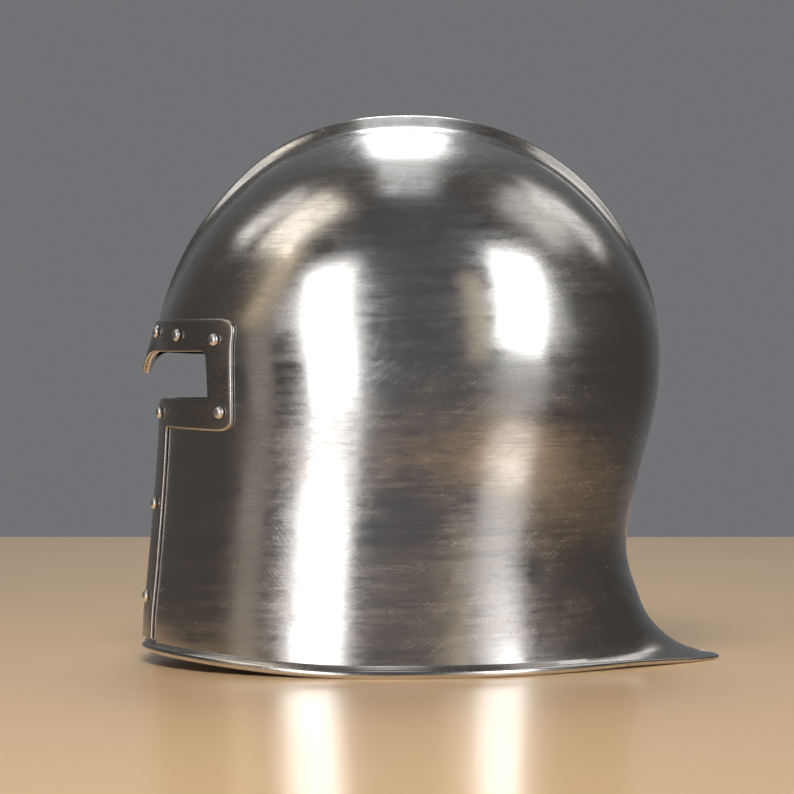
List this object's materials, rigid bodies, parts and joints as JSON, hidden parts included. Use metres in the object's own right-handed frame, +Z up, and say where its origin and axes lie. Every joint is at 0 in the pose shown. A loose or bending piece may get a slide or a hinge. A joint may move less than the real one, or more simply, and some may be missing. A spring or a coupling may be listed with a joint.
{
  "type": "barbute helmet",
  "caption": "One-piece steel helmet with a low crown comb, T-shaped face opening under a riveted border, and a rolled lower edge that draws out to a long tail.",
  "frame": {"origin": "middle of the bounding box seen from above, on the surface that the lower edge rests on", "axes": "+X runs from the face to the tail, so the face looks along -X; +Y is the wearer's right; +Z is up"},
  "size_m": [0.3097, 0.2124, 0.2909],
  "materials": {
    "shell_steel": "polished steel with fine scratches, a little hazy",
    "border_steel": "satin steel plate with a softened edge",
    "rivet_steel": "satin domed steel"
  },
  "bodies": {
    "root": {"skull_shell": "shell_steel", "face_border": "border_steel", "rivet_brow_inner_left": "rivet_steel", "rivet_brow_inner_right": "rivet_steel", "rivet_brow_mid_left": "rivet_steel", "rivet_brow_mid_right": "rivet_steel", "rivet_brow_outer_left": "rivet_steel", "rivet_brow_outer_right": "rivet_steel", "rivet_cheek_outer_left": "rivet_steel", "rivet_cheek_outer_right": "rivet_steel", "rivet_cheek_inner_left": "rivet_steel", "rivet_cheek_inner_right": "rivet_steel", "rivet_slit_mid_left": "rivet_steel", "rivet_slit_mid_right": "rivet_steel", "rivet_slit_low_left": "rivet_steel", "rivet_slit_low_right": "rivet_steel"}
  },
  "joints": []
}
